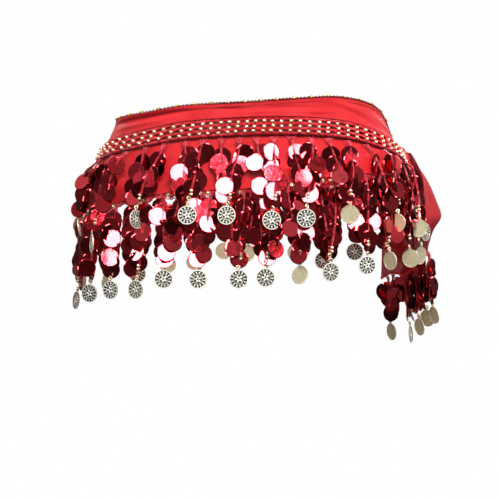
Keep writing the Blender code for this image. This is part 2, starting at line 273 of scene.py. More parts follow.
def colour_by(tree, shader, pattern, *stops):
    """Colours a shader by a pattern, through a ramp whose stops are each a place and a hex colour."""
    ramp = add_node(tree, "ShaderNodeValToRGB", links={"Fac": pattern})
    elements = ramp.color_ramp.elements
    elements[0].position, elements[1].position = stops[0][0], stops[-1][0]
    for position, _ in stops[1:-1]:
        elements.new(position)
    for element, (_, code) in zip(elements, stops):
        element.color = linear(code)
    tree.links.new(ramp.outputs["Color"], shader.inputs["Base Color"])


def bump_by(tree, shader, pattern, strength, distance):
    inputs = {"Strength": strength, "Distance": distance}
    bump = add_node(tree, "ShaderNodeBump", inputs=inputs, links={"Height": pattern})
    tree.links.new(bump.outputs["Normal"], shader.inputs["Normal"])


def mesh_points(mesh):
    points = np.empty(len(mesh.vertices) * 3)
    mesh.vertices.foreach_get("co", points)
    return points.reshape(-1, 3)


def normals_out():
    """Turns the faces of the active mesh outwards, or all one way on an open sheet."""
    bpy.ops.object.mode_set(mode="EDIT")
    bpy.ops.mesh.select_all(action="SELECT")
    bpy.ops.mesh.normals_make_consistent(inside=False)
    bpy.ops.object.mode_set(mode="OBJECT")


def grid_sheet(name, columns, rows, place):
    """A flat grid added and then laid out by place(across, down), two arrays that run from 0 to 1. Its UV map
    keeps the flat places, as shares of the sheet's width and height."""
    bpy.ops.object.select_all(action="DESELECT")
    bpy.ops.mesh.primitive_grid_add(x_subdivisions=columns, y_subdivisions=rows, size=1)
    sheet = bpy.context.object
    sheet.name = sheet.data.name = name
    flat = mesh_points(sheet.data)
    sheet.data.vertices.foreach_set("co", place(flat[:, 0] + 0.5, 0.5 - flat[:, 1]).ravel())
    sheet.data.update()
    return sheet


def face_out(sheet):
    """Turns an open sheet round the hips so that its faces look away from the middle."""
    normals_out()
    outward = sum(face.normal.dot(face.center) for face in sheet.data.polygons)
    if outward < 0:
        bpy.ops.object.mode_set(mode="EDIT")
        bpy.ops.mesh.flip_normals()
        bpy.ops.object.mode_set(mode="OBJECT")


def thicken(sheet, wall):
    """Gives a sheet a thin wall outwards, with the hems closed."""
    shell = sheet.modifiers.new("wall", "SOLIDIFY")
    shell.thickness = wall
    shell.offset = 1.0
    bpy.ops.object.modifier_apply(modifier="wall")
    bpy.ops.object.shade_smooth_by_angle(angle=math.radians(50))


def finish_piece(piece, material, slot, *nodes):
    """Gives a piece its material and its place in the frame."""
    piece.data.materials.clear()
    piece.data.materials.append(material)
    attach(piece, "root")
    if nodes:
        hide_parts(*nodes)


def place_strip(across, down):
    """The strip's points: its folds, its creases and the small rolls of its two hems."""
    angle = strip_angle(across)
    strip = read_table(STRIP, angle)
    height = strip.band + strip.above - (strip.above + strip.below) * down
    lift = creases(angle, height - strip.band, strip.band_half)
    hem = HEM_ROLL * (np.exp(-((down / 0.035) ** 2)) + np.exp(-(((1 - down) / 0.03) ** 2)))
    return hip_point(angle, height, CLOTH_LEVEL + fold(angle, height) + lift + hem)[0]


# Chiffon: piece-dyed polyester, woven plain from hard-twisted crepe yarn about 0.2 mm apart. The crepe
# grain is drawn at 0.9 mm, or it would not show. The eye sees a soft matt red that lightens where it turns
# away.
CREPE_GRAIN = 0.0009


def chiffon(name, opacity, shade, light):
    made, tree, shader = new_material(name)
    set_shader(shader, Roughness=0.7, Alpha=opacity, Specular_IOR_Level=0.2)
    set_shader(shader, Sheen_Weight=0.12, Sheen_Roughness=0.4, Sheen_Tint=linear("ff6a60"))
    colour_by(tree, shader, noise(tree, 38.0, 3.0), (0.3, shade), (0.7, light))
    bump_by(tree, shader, noise(tree, 1 / CREPE_GRAIN, 2.0), 0.35, 0.0003)
    return made


strip_cloth = grid_sheet("strip_cloth", STRIP_COLUMNS, STRIP_ROWS, place_strip)
face_out(strip_cloth)
thicken(strip_cloth, CLOTH_WALL)
dense_chiffon = chiffon("piece_dyed_chiffon", 1.0, "d4141d", "e8262e")
finish_piece(strip_cloth, dense_chiffon, "chiffon", "wrap_cloth")


# The edging
# A fine crocheted picot edge in dark red thread, worked straight into the top hem, with a deep gold bead
# every 22 mm. Here it is a two-ply twisted cord, small rings on it for the picots and a line of stitches
# below it.
EDGE_PLY = 0.00074
EDGE_PITCH = 0.0046
PICOT_STEP = 1.9
STITCH_PLY = 0.00028
STITCH_PITCH = 0.0060
STITCH_BELOW = 0.0036
EDGE_LIFT = 0.0003
EDGE_PROUD, STITCH_PROUD = 0.0011, 0.0010
PICOT_LIFT = 0.0006
EDGE_BEAD_LIFT, EDGE_BEAD_PROUD = 0.0012, 0.0004
EDGE_LENGTH = 0.80
EDGE_BEAD_STEP = 8.9
THREAD_SIDES = 4
STEPS_A_TURN = 5
Cord = namedtuple("Cord", "mesh length")


def read_mesh(thing):
    """The points, corners and corner counts of a mesh as arrays, once its object is no longer needed."""
    mesh = thing.data
    points = mesh_points(mesh)
    corners = np.empty(len(mesh.loops), dtype=np.int64)
    mesh.loops.foreach_get("vertex_index", corners)
    counts = np.empty(len(mesh.polygons), dtype=np.int64)
    mesh.polygons.foreach_get("loop_total", counts)
    bpy.data.objects.remove(thing)
    return points, corners, counts


def join_arrays(parts):
    """The points, corners and corner counts of many parts as one part's."""
    starts = np.cumsum([0] + [len(part[0]) for part in parts[:-1]])
    corners = np.concatenate([part[1] + start for part, start in zip(parts, starts)])
    return np.concatenate([part[0] for part in parts]), corners, np.concatenate([part[2] for part in parts])


def twisted_cord(ply, pitch, length):
    """Two plies twisted round each other up the Z axis, in a whole number of turns."""
    turns = round(length / pitch)
    bpy.ops.object.select_all(action="DESELECT")
    bpy.ops.mesh.primitive_circle_add(
        vertices=THREAD_SIDES, radius=ply, location=(ply * 0.85, 0, 0), rotation=(math.pi / 2, 0, 0)
    )
    thread = bpy.context.object
    bpy.ops.object.transform_apply()
    twist = thread.modifiers.new("twist", "SCREW")
    twist.angle = 2 * math.pi
    twist.screw_offset = pitch
    twist.iterations = turns
    twist.steps = twist.render_steps = STEPS_A_TURN
    bpy.ops.object.modifier_apply(modifier="twist")
    bpy.ops.object.mode_set(mode="EDIT")
    bpy.ops.mesh.select_all(action="SELECT")
    bpy.ops.mesh.fill_holes(sides=THREAD_SIDES)
    bpy.ops.object.mode_set(mode="OBJECT")
    normals_out()
    points, corners, counts = read_mesh(thread)
    plies = [(points, corners, counts), (points * (-1, -1, 1), corners, counts)]
    return Cord(join_arrays(plies), pitch * turns)


def lay_cord(cord, path):
    """A cord laid along path(share), which gives places, sideways directions and outward ones."""
    points, corners, counts = cord.mesh
    place, side, out = path(np.clip(points[:, 2] / cord.length, 0, 1))
    return place + side * points[:, :1] + out * points[:, 1:2], corners, counts


def join_parts(name, parts, smooth_under=100, **values):
    """One object from many parts, each the arrays of a mesh, shaded smooth over edges flatter than this many
    degrees. Each value is one number a part, kept as an attribute of its points."""
    points, corners, counts = join_arrays(parts)
    mesh = bpy.data.meshes.new(name)
    mesh.vertices.add(len(points))
    mesh.vertices.foreach_set("co", points.ravel())
    mesh.loops.add(len(corners))
    mesh.loops.foreach_set("vertex_index", corners.astype(np.int32))
    mesh.polygons.add(len(counts))
    mesh.polygons.foreach_set("loop_start", (np.cumsum(counts) - counts).astype(np.int32))
    mesh.update(calc_edges=True)
    for key, numbers in values.items():
        held = mesh.attributes.new(key, "FLOAT", "POINT")
        numbers = np.repeat(numbers, [len(part[0]) for part in parts])
        held.data.foreach_set("value", numbers.astype(np.float32))
    made = bpy.data.objects.new(name, mesh)
    bpy.context.collection.objects.link(made)
    bpy.ops.object.select_all(action="DESELECT")
    made.select_set(True)
    bpy.context.view_layer.objects.active = made
    bpy.ops.object.shade_smooth_by_angle(angle=math.radians(smooth_under))
    return made


def strip_line(above, proud, start=STRIP_START, end=STRIP_END):
    """A path along the strip for lay_cord, above(strip, angle) over the band's middle line."""

    def path(share):
        angle = start + (end - start) * share
        strip = read_table(STRIP, angle)
        height = strip.band + above(strip, angle)
        place, out = hip_point(angle, height, proud + fold(angle, height))
        return place, UP + 0 * out, out

    return path


def placed(part, axes, place):
    """A part turned by its three axes, the columns of a matrix, and moved to its place."""
    return part[0] @ axes.T + place, *part[1:]


def turned(part, places, *axes):
    """Copies of a part at these places, whose own X, Y and Z axes there are given as three arrays."""
    return [placed(part, frame, place) for place, frame in zip(places, np.stack(axes, axis=-1))]


def ring_bead(name, hole, wall, length):
    """A small ring, modelled as a torus and stretched along its hole."""
    bpy.ops.object.select_all(action="DESELECT")
    bpy.ops.mesh.primitive_torus_add(
        major_segments=10, minor_segments=6, major_radius=hole + wall, minor_radius=wall
    )
    bpy.ops.object.mode_set(mode="EDIT")
    bpy.ops.mesh.select_all(action="SELECT")
    bpy.ops.transform.resize(value=(1, 1, length / (2 * wall)))
    bpy.ops.object.mode_set(mode="OBJECT")
    bpy.context.object.name = name
    return read_mesh(bpy.context.object)


# Crochet thread: mercerised cotton, dyed deep red, whose tight twist shines along the ply.
def crochet_thread(name, shade, light, shine):
    made, tree, shader = new_material(name)
    set_shader(shader, Roughness=0.42, Specular_IOR_Level=shine)
    colour_by(tree, shader, noise(tree, 260.0, 2.0), (0.35, shade), (0.65, light))
    bump_by(tree, shader, noise(tree, 2600.0, 1.0), 0.4, 0.0002)
    return made


# Gold beads: pressed plastic with a vacuum-coated gold skin, pale on the band and deeper on the edging.
def bead_gold(name, shade, light):
    made, tree, shader = new_material(name)
    set_shader(shader, Metallic=0.55, Roughness=0.26, Coat_Weight=0.3, Coat_Roughness=0.08)
    colour_by(tree, shader, noise(tree, 420.0, 2.0), (0.35, shade), (0.7, light))
    return made


thread_material = crochet_thread("mercerised_crochet_thread", "cc1420", "f4424e", 0.25)
# The dark thread is the top edging's own colour. On the band's back sheet, on its lower edge and on the hem's
# dark row it is also painted shade.
dark_thread_and_shade_material = crochet_thread("dark_thread_and_painted_shade", "46050a", "86101a", 0.15)
bead_material = bead_gold("coated_gold_bead", "e9c98c", "fff4dc")
edge_bead_material = bead_gold("deep_gold_bead", "c0904a", "ecd096")

edge_line = strip_line(lambda strip, angle: strip.above + EDGE_LIFT, EDGE_PROUD)
stitch_line = strip_line(lambda strip, angle: strip.above - STITCH_BELOW, STITCH_PROUD)
edge_parts = [lay_cord(twisted_cord(EDGE_PLY, EDGE_PITCH, EDGE_LENGTH), edge_line)]
edge_parts.append(lay_cord(twisted_cord(STITCH_PLY, STITCH_PITCH, EDGE_LENGTH), stitch_line))
picot = ring_bead("picot", 0.0003, 0.0005, 0.0010)
place, up, out = edge_line(strip_share(np.arange(STRIP_START + 2, STRIP_END - 1, PICOT_STEP)))
edge_parts += turned(picot, place + up * PICOT_LIFT, np.cross(up, out), up, out)
finish_piece(join_parts("edging", edge_parts), dark_thread_and_shade_material, "crochet", "top_edging")

bead = ring_bead("bead", 0.0004, 0.00076, 0.0031)
place, up, out = edge_line(strip_share(np.arange(STRIP_START + 6, STRIP_END - 4, EDGE_BEAD_STEP)))
edging_beads = turned(
    bead, place + up * EDGE_BEAD_LIFT + out * EDGE_BEAD_PROUD, up, out, np.cross(up, out)
)
finish_piece(join_parts("edging_beads", edging_beads), edge_bead_material, "gold_beads")


# The bead band
# A crocheted net 18 mm tall, sewn flat on the chiffon: three rows of gold beads, 11 mm apart in each row,
# worked into pairs of threads that part between the beads and make small eyelets, between two firm edge
# chains.
BAND_PROUD = 0.0028
# How proud and how thick the dark sheet of painted shade behind the rows is.
BAND_SHADE_PROUD, BAND_SHADE_WALL = 0.0016, 0.0004
BAND_PLY = 0.00080
BAND_PITCH = 0.0052
BAND_LENGTH = 0.84
BEADS_IN_ROW = 76
EYELET_HALF = 0.0021
THREAD_STAGGER = 0.0002
ROW_LIFTS = (0.0049, 0.0001, -0.0047)
ROW_SHIFTS = (0.10, 0.0, -0.14)
EDGE_CHAINS = (0.0074, 0.0025, -0.0023, -0.0071)
DARK_EDGE_LIFT, DARK_EDGE_PROUD = 0.0087, 0.0020
SCALLOP_STEPS = 152
SCALLOP_LIFT, SCALLOP_DIP, SCALLOP_PROUD = -0.0080, 0.0011, 0.0024
BEAD_PROUD = 0.0011
BEAD_SLIP, BEAD_HEAVE = 0.0008, 0.0005


def band_scale(strip):
    """How far the band is drawn together, from 1 on the hips to less at the knot."""
    return strip.band_half / 0.009


def eyelet_thread(row, side):
    """The height of one thread of a row: it meets its fellow at each bead and parts from it between them."""

    def above(strip, angle):
        share = strip_share(angle) * BEADS_IN_ROW - ROW_SHIFTS[row]
        part = side * EYELET_HALF * np.abs(np.sin(math.pi * share)) ** 0.7
        return band_scale(strip) * (ROW_LIFTS[row] + part)

    return above


def edge_chain(lift):
    return lambda strip, angle: band_scale(strip) * lift


def scallops(strip, angle):
    """The band's lower edge, a dark chain that dips between the stitches which carry the dangles. Its dark
    colour is partly the chain's own and partly painted shade under the band.
    """
    share = strip_share(angle) * SCALLOP_STEPS
    return band_scale(strip) * (SCALLOP_LIFT - SCALLOP_DIP * np.abs(np.sin(math.pi * share)))


def place_band_shade(across, down):
    """The sheet of painted shade behind the rows, dark through the eyelets and round the beads, a little
    narrower than the band.
    """
    angle = strip_angle(across)
    strip = read_table(STRIP, angle)
    height = strip.band + strip.band_half * 0.92 * (1 - 2 * down)
    return hip_point(angle, height, BAND_SHADE_PROUD + fold(angle, height))[0]


# A dark sheet behind the rows is painted shade: it darkens the eyelets and the gaps round the beads, where
# the band is in shadow.
band_shade_sheet = grid_sheet("band_painted_shade", 400, 8, place_band_shade)
face_out(band_shade_sheet)
thicken(band_shade_sheet, BAND_SHADE_WALL)
finish_piece(band_shade_sheet, dark_thread_and_shade_material, "crochet")

band_cord = twisted_cord(BAND_PLY, BAND_PITCH, BAND_LENGTH)


def band_part(above, proud):
    return lay_cord(band_cord, strip_line(above, proud))


band_chains = [band_part(edge_chain(lift), BAND_PROUD) for lift in EDGE_CHAINS]
finish_piece(join_parts("band_chains", band_chains), thread_material, "crochet", "bead_band")
eyelets = [
    band_part(eyelet_thread(row, side), BAND_PROUD + THREAD_STAGGER * side)
    for row in range(len(ROW_LIFTS)) for side in (-1, 1)
]
finish_piece(join_parts("band_eyelets", eyelets), thread_material, "crochet")
# The upper dark cord is the band's dark top chain. The scalloped lower one is partly the dark chain and
# partly painted shade under the band.
dark_edges = [band_part(edge_chain(DARK_EDGE_LIFT), DARK_EDGE_PROUD), band_part(scallops, SCALLOP_PROUD)]
finish_piece(join_parts("band_edges", dark_edges), dark_thread_and_shade_material, "crochet")

jitter = np.random.RandomState(7)
band_beads = []
for lift, shift in zip(ROW_LIFTS, ROW_SHIFTS):
    shares = (np.arange(1, BEADS_IN_ROW - 1) + shift) / BEADS_IN_ROW
    place, up, out = strip_line(edge_chain(lift), BAND_PROUD)(shares)
    side = np.cross(up, out)
    slip = jitter.uniform(-BEAD_SLIP, BEAD_SLIP, len(shares))[:, None]
    heave = jitter.uniform(-BEAD_HEAVE, BEAD_HEAVE, len(shares))[:, None]
    band_beads += turned(bead, place + side * slip + up * heave + out * BEAD_PROUD, side, out, up)
finish_piece(join_parts("band_beads", band_beads), bead_material, "gold_beads")


# The dangles
# Pairs of two-ply threads hang from the band and from the lower hem, each with two roots in the chain above
# it. Each thread carries mirror paillettes that lie over each other like scales. The two run together at
# two gold rings and a stamped coin.
LEG_PLY, ROOT_PLY = 0.00084, 0.00052
LEG_PITCH = 0.0040
LEG_LENGTH, ROOT_LENGTH = 0.080, 0.008
PAILLETTE_RADIUS = 0.0091
PAILLETTE_WALL = 0.00035
PAILLETTE_RIM = 0.0006
HOLE_TO_RIM = 0.0014
COIN_RADIUS = 0.0091
COIN_WALL = 0.0011
COIN_LOOP = 0.0006
COIN_SUNK = 0.00045
RING_STEP = 0.0044
ROOT_HALF = 0.0032
ROOT_DEPTH = 0.0062

# How dark the blackening left in a coin's plain back is, and how much each coin's face darkens at random,
# partly tarnish and partly painted shade for coins turned away from the light.
BACK_WEAR = 0.30
TARNISH_AND_SHADE = 0.10

# How far a turned paillette may reach in towards the hips, at the least and past the cloth, and how far its
# coin stands out, over the paillettes behind it.
LEAST_ROOM = 0.0024
CLOTH_REACH = 0.0034
COIN_LIFT = 0.0052

# A row of dangles: the place of the first one and the step to the next, how many there are, how far down
# the coins hang, how many paillettes a thread has, how proud its two threads are, and how far round its
# paillettes turn at the left, in degrees.
Dangles = namedtuple("Dangles", "first step count coin_below paillettes inner_level outer_level twist")
UPPER = Dangles(-232.4, 17.10, 20, 0.0755, 6, 0.0066, 0.0092, 28)
LOWER = Dangles(-230.4, 13.15, 25, 0.0862, 7, 0.0018, 0.0044, 28)

# The dangles that the photograph shows, by their number from the front of the strip: how far each one's
# coin sways along the strip in degrees, how much lower it hangs, and how far it is turned about its thread.
Hang = namedtuple("Hang", "number sway lower turn")
UPPER_SEEN = (
    Hang(10, -3.0, 0.011, -20), Hang(11, -1.0, -0.006, 80), Hang(12, 1.5, -0.005, 15),
    Hang(13, 0.3, -0.003, -15), Hang(14, 2.0, 0.003, 10), Hang(15, -1.3, 0.001, -10),
    Hang(16, -1.9, -0.004, 150), Hang(17, 0.5, -0.003, 95), Hang(18, -3.1, -0.005, 140),
)
LOWER_SEEN = (
    Hang(11, 0.8, 0.001, 20), Hang(12, 6.1, -0.002, 30), Hang(13, 3.9, -0.002, 10),
    Hang(14, 1.8, 0.002, -8), Hang(15, -1.5, -0.005, 12), Hang(16, -0.6, -0.003, -10),
    Hang(17, 1.5, -0.002, 6), Hang(18, 0.0, -0.001, -6), Hang(19, 0.0, 0.001, 205),
    Hang(20, -1.2, 0.002, 14), Hang(21, 0.0, 0.000, -8), Hang(22, -4.0, -0.004, 88),
    Hang(23, -6.0, -0.008, 95), Hang(24, -6.0, -0.014, 150),
)


def paillette_disc():
    """A mirror paillette, flat with a turned-down rim, and its hole at the origin."""
    bpy.ops.object.select_all(action="DESELECT")
    bpy.ops.mesh.primitive_cylinder_add(vertices=24, radius=PAILLETTE_RADIUS, depth=PAILLETTE_WALL)
    disc = bpy.context.object
    bpy.ops.object.mode_set(mode="EDIT")
    bpy.ops.mesh.select_all(action="DESELECT")
    bpy.ops.object.mode_set(mode="OBJECT")
    for face in disc.data.polygons:
        face.select = face.normal.z > 0.9
    bpy.ops.object.mode_set(mode="EDIT")
    bpy.ops.mesh.inset(thickness=PAILLETTE_RIM)
    bpy.ops.transform.translate(value=(0, 0, 0.00018))
    bpy.ops.object.mode_set(mode="OBJECT")
    bpy.ops.mesh.primitive_cylinder_add(
        vertices=8, radius=0.0007, depth=0.004, location=(0, PAILLETTE_RADIUS - HOLE_TO_RIM, 0)
    )
    drill = bpy.context.object
    bpy.context.view_layer.objects.active = disc
    hole = disc.modifiers.new("hole", "BOOLEAN")
    hole.object = drill
    hole.operation = "DIFFERENCE"
    bpy.ops.object.modifier_apply(modifier="hole")
    bpy.data.objects.remove(drill)
    points, corners, counts = read_mesh(disc)
    return points - (0, PAILLETTE_RADIUS - HOLE_TO_RIM, 0), corners, counts


def stamped_coin():
    """A coin with a raised rim, bars, ring and rosette on its face and a plain dished back, hung from its
    top. The last array says how deep in the relief each point is, for the dark patina."""
    bpy.ops.object.select_all(action="DESELECT")
    bpy.ops.mesh.primitive_cylinder_add(vertices=32, radius=COIN_RADIUS, depth=COIN_WALL)
    coin = bpy.context.object
    bpy.ops.object.mode_set(mode="EDIT")
    for way, sink in ((1, -COIN_SUNK), (-1, 0.0002)):
        bpy.ops.mesh.select_all(action="DESELECT")
        bpy.ops.object.mode_set(mode="OBJECT")
        for face in coin.data.polygons:
            face.select = face.normal.z * way > 0.9 and face.center.z * way > COIN_WALL / 3
        bpy.ops.object.mode_set(mode="EDIT")
        bpy.ops.mesh.inset(thickness=0.0008)
        bpy.ops.mesh.inset(thickness=0.0002)
        bpy.ops.transform.translate(value=(0, 0, sink))
    bpy.ops.object.mode_set(mode="OBJECT")
    parts = [read_mesh(coin)]
    face = COIN_WALL / 2
    heights = parts[0][0][:, 2]
    depths = np.where(np.abs(heights - (face - COIN_SUNK)) < 0.00005, 1.0, 0.0)
    depths[heights < 0] = BACK_WEAR

    def keep():
        bpy.ops.object.transform_apply()
        parts.append(read_mesh(bpy.context.object))

    def round_face(count, start, radius, sunk):
        """Places round the coin's face, each with the angle it is turned by."""
        for i in range(count):
            turn = 2 * math.pi * (i + start) / count
            place = (math.cos(turn) * radius, math.sin(turn) * radius, face - sunk)
            yield {"location": place, "rotation": (0, 0, turn)}

    for spot in round_face(13, 0.0, 0.0066, 0.00025):
        bpy.ops.mesh.primitive_cube_add(size=1, scale=(0.0022, 0.0011, 0.0005), **spot)
        keep()
    bpy.ops.mesh.primitive_torus_add(
        major_segments=24, minor_segments=6, major_radius=0.0046, minor_radius=0.00026,
        location=(0, 0, face - 0.0003),
    )
    keep()
    for spot in round_face(5, 0.5, 0.0023, 0.0004):
        bpy.ops.mesh.primitive_uv_sphere_add(segments=8, ring_count=5, radius=0.0018, **spot)
        bpy.ops.transform.resize(value=(1.0, 0.56, 0.3), orient_type="LOCAL")
        keep()
    bpy.ops.mesh.primitive_torus_add(
        major_segments=12, minor_segments=6, major_radius=0.0011, minor_radius=0.0004,
        location=(0, COIN_RADIUS + COIN_LOOP, 0),
    )
    keep()
    points, corners, counts = join_arrays(parts)
    depths = np.concatenate([depths, np.zeros(len(points) - len(depths))])
    return (points - (0, COIN_RADIUS + COIN_LOOP, 0), corners, counts), depths


# Where the camera and the studio's soft boxes are: a box's side and height in degrees as seen from the
# scarf, its width and how bright its face is. This share of the paillettes is hung so that they mirror a
# box to the camera, the first one between the two angles given, and the second one elsewhere.
AIM = Vector((-0.001, 0.0, -0.099))
CAMERA_DISTANCE = 2.4
CAMERA_RISE = 4.0
BOX_DISTANCE = 1.7
GLINT_SHARE = 0.19
SIDE_GLINT_SHARE = 0.015
GLINT_START, GLINT_END = -40, 24
GLINT_REACH = 34.0
SoftBox = namedtuple("SoftBox", "azimuth rise size glow")
SOFT_BOXES = (
    SoftBox(-62, 20, 0.20, 22),
    SoftBox(-34, 12, 0.22, 22),
    SoftBox(-14, 33, 0.40, 22),
    SoftBox(17, 17, 0.28, 22),
    SoftBox(38, 31, 0.34, 22),
    SoftBox(66, 14, 0.28, 22),
    SoftBox(4, 62, 0.50, 14),
    SoftBox(-104, 26, 0.32, 18),
    SoftBox(106, 22, 0.42, 18),
    SoftBox(150, 24, 0.44, 18),
    SoftBox(-150, 30, 0.44, 18),
    SoftBox(178, 12, 0.36, 18),
)


def studio_place(azimuth, rise, distance):
    """A place seen from the scarf on this side, this many degrees up."""
    a, e = math.radians(azimuth), math.radians(rise)
    return AIM + Vector((math.sin(a) * math.cos(e), -math.cos(a) * math.cos(e), math.sin(e))) * distance


def glint(spot, axes, luck, yaw, tilt):
    """The yaw and tilt with which a disc here mirrors a box to the camera, or else the ones given."""
    turns = []
    view = studio_place(0, CAMERA_RISE, CAMERA_DISTANCE) - Vector(spot)
    for box in SOFT_BOXES:
        light = studio_place(box.azimuth, box.rise, BOX_DISTANCE) - Vector(spot)
        across, up, out = axes.T @ np.array((view.normalized() + light.normalized()).normalized())
        if out > math.cos(math.radians(GLINT_REACH)):
            turns.append((math.degrees(math.atan2(across, out)), math.degrees(math.asin(up))))
    if not turns:
        return yaw, tilt
    chosen = turns[luck.randint(len(turns))]
    return chosen[0] + luck.uniform(-3, 3), chosen[1] + luck.uniform(-3, 3)


def turn_matrix(roll, yaw, tilt):
    """Axes turned in degrees: rolled in their plane, tilted bottom outwards, then turned about the thread."""
    r, y, t = (math.radians(part) for part in (roll, yaw, -tilt))
    about_x = np.array([[1, 0, 0], [0, math.cos(t), -math.sin(t)], [0, math.sin(t), math.cos(t)]])
    about_y = np.array([[math.cos(y), 0, math.sin(y)], [0, 1, 0], [-math.sin(y), 0, math.cos(y)]])
    about_z = np.array([[math.cos(r), -math.sin(r), 0], [math.sin(r), math.cos(r), 0], [0, 0, 1]])
    return about_y @ about_x @ about_z


disc = paillette_disc()
coin, coin_depth = stamped_coin()
ring = ring_bead("ring", 0.0008, 0.00085, 0.0018)
leg_cord = twisted_cord(LEG_PLY, LEG_PITCH, LEG_LENGTH)
root_cord = twisted_cord(ROOT_PLY, LEG_PITCH, ROOT_LENGTH)


def axes_at(out):
    """Sideways, up and outwards at a place, as the columns of a matrix."""
    return np.stack([np.cross(UP, out), UP, out], axis=-1)


def hang_one(hang, place, below, proud):
    """One point under a chain and the direction out of it."""
    spots, outs = hang(*(np.array((number,)) for number in (place, below, proud)))
    return spots[0], outs[0]


def make_dangles(dangles, seen, hang, luck):
    """The threads, paillettes, rings, beads and coins of a row of dangles, as lists of mesh parts.
    hang(place, below, proud) gives points under the chain and the directions out of them."""
    threads, discs, rings, beads, coins = [], [], [], [], []
    known = {row.number: row for row in seen}
    for i in range(dangles.count):
        middle = dangles.first + dangles.step * i
        row = known.get(i) or Hang(
            i, luck.uniform(-0.12, 0.12) * dangles.step, luck.uniform(-0.015, -0.006),
            luck.choice((0, 0, 0, 170)) + luck.uniform(-35, 35),
        )
        foot = middle + row.sway
        to_left = max(0.0, -math.sin(math.radians(foot)))
        twist = dangles.twist * to_left * np.sign(math.cos(math.radians(foot)))
        coin_below = dangles.coin_below + row.lower
        meet = coin_below - COIN_RADIUS - 2 * RING_STEP
        for turn, level, end in ((-1, dangles.inner_level, meet), (1, dangles.outer_level, meet - 0.006)):
            root = middle + turn * dangles.step / 4
            wave = luck.uniform(-0.0018, 0.0018)
            foot_here = foot + (0 if turn < 0 else dangles.step * luck.uniform(0.03, 0.09))

            def leg(share, root=root, foot_here=foot_here, level=level, end=end, wave=wave):
                below = -0.002 + share * (end + 0.002)
                place = root + (foot_here - root) * share**1.15
                proud = level * np.minimum(1, 0.45 + share * 5) + 0.0022 * share
                spot, out = hang(place, below, proud)
                side = np.cross(UP, out)
                return spot + side * (wave * np.sin(share * 7))[..., None], side, out

            threads.append(lay_cord(leg_cord, leg))
            for lean in (-1, 1):

                def root_thread(share, lean=lean, leg=leg, end=end):
                    below = (share * (ROOT_DEPTH + 0.002)) / (end + 0.002)
                    spot, side, out = leg(below)
                    return spot + side * (lean * ROOT_HALF * (1 - share) ** 1.3)[..., None], side, out

                threads.append(lay_cord(root_cord, root_thread))
            first = luck.uniform(0.0062, 0.0100)
            number = dangles.paillettes + luck.randint(-1, 2)
            step = (end - 0.009 - first) / (number - 1)
            for j in range(number):
                below = first + step * (j + luck.uniform(-0.16, 0.16))
                spot, side, out = leg(np.array((below / end,)))
                behind = luck.uniform(0, 1) < 0.5
                aside = luck.uniform(-0.0012, 0.0012) * side[0]
                ahead = -0.0010 if behind else 0.0007
                tilt = luck.normal(4, 6) if behind else luck.normal(10, 7)
                yaw = luck.normal(twist, 18)
                roll = luck.normal(0, 26)
                bright = GLINT_START < foot < GLINT_END
                if luck.uniform(0, 1) < (GLINT_SHARE if bright else SIDE_GLINT_SHARE):
                    yaw, tilt = glint(spot[0], axes_at(out[0]), luck, yaw, tilt)
                axes = axes_at(out[0]) @ turn_matrix(roll, yaw, tilt)
                hung = disc[0] @ axes.T
                room = max(level + ahead - CLOTH_REACH, LEAST_ROOM)
                ahead += max(0.0, -np.min(hung @ out[0]) - room)
                discs.append((hung + spot[0] + aside + ahead * out[0], *disc[1:]))
            if turn > 0:
                for below in (end + 0.0005, end + 0.0040):
                    spot, out = hang_one(hang, foot_here, below, level + 0.0022)
                    axes = axes_at(out) @ turn_matrix(luck.uniform(-60, 60), 0, 90)
                    beads.append(placed(bead, axes, spot))
        for k in range(2):
            below = meet + RING_STEP * (k + 0.4)
            spot, out = hang_one(hang, foot, below, dangles.inner_level + COIN_LIFT * (k + 1) / 2)
            axes = axes_at(out) @ turn_matrix(0, luck.uniform(-40, 40), luck.uniform(-15, 15))
            rings.append(placed(ring, axes, spot))
        below = coin_below - COIN_RADIUS - COIN_LOOP
        spot, out = hang_one(hang, foot, below, dangles.inner_level + COIN_LIFT)
        axes = axes_at(out) @ turn_matrix(luck.uniform(-8, 8), row.turn, luck.uniform(2, 8))
        coins.append(placed(coin, axes, spot))
    return threads, discs, rings, beads, coins


# Mirror paillettes: red metallised film on stamped PET, bright as a mirror with a clear top coat. Each disc
# is dyed a little differently, and faint dents from stamping soften what it mirrors.
def paillette_foil():
    made, tree, shader = new_material("metallised_paillette_film")
    set_shader(shader, Metallic=1.0, Roughness=0.09, Coat_Weight=0.6, Coat_Roughness=0.03)
    tone = add_node(tree, "ShaderNodeAttribute", settings={"attribute_name": "tone"})
    colour_by(tree, shader, tone.outputs["Fac"], (0.0, "a21722"), (1.0, "d62c37"))
    bump_by(tree, shader, noise(tree, 160.0, 2.0), 0.17, 0.0004)
    return made


# Coins: stamped iron plated pale gold, then blackened and wiped, so the relief is bright and its ground
# dark.
def antiqued_coin():
    made, tree, shader = new_material("antiqued_stamped_coin")
    set_shader(shader, Metallic=0.2, Specular_IOR_Level=0.8)
    depth = add_node(tree, "ShaderNodeAttribute", settings={"attribute_name": "depth"})
    spread = add_node(
        tree, "ShaderNodeMath", settings={"operation": "MULTIPLY_ADD"},
        inputs={1: 0.5, 2: -0.12}, links={0: noise(tree, 700.0, 3.0)},
    )
    dark = add_node(
        tree, "ShaderNodeMath", settings={"operation": "ADD", "use_clamp": True},
        links={0: depth.outputs["Fac"], 1: spread.outputs[0]},
    )
    colour_by(tree, shader, dark.outputs[0], (0.14, "fbf6ea"), (0.42, "e8dcb0"), (0.80, "060504"))
    dull = add_node(
        tree, "ShaderNodeMapRange", inputs={"To Min": 0.36, "To Max": 0.6}, links={"Value": dark.outputs[0]}
    )
    tree.links.new(dull.outputs["Result"], shader.inputs["Roughness"])
    return made


# The dangles' threads are silkier than the band's, and lighter where they catch the light.
leg_material = crochet_thread("silky_dangle_thread", "c01a2c", "f8606f", 0.3)
foil_material = paillette_foil()
coin_material = antiqued_coin()


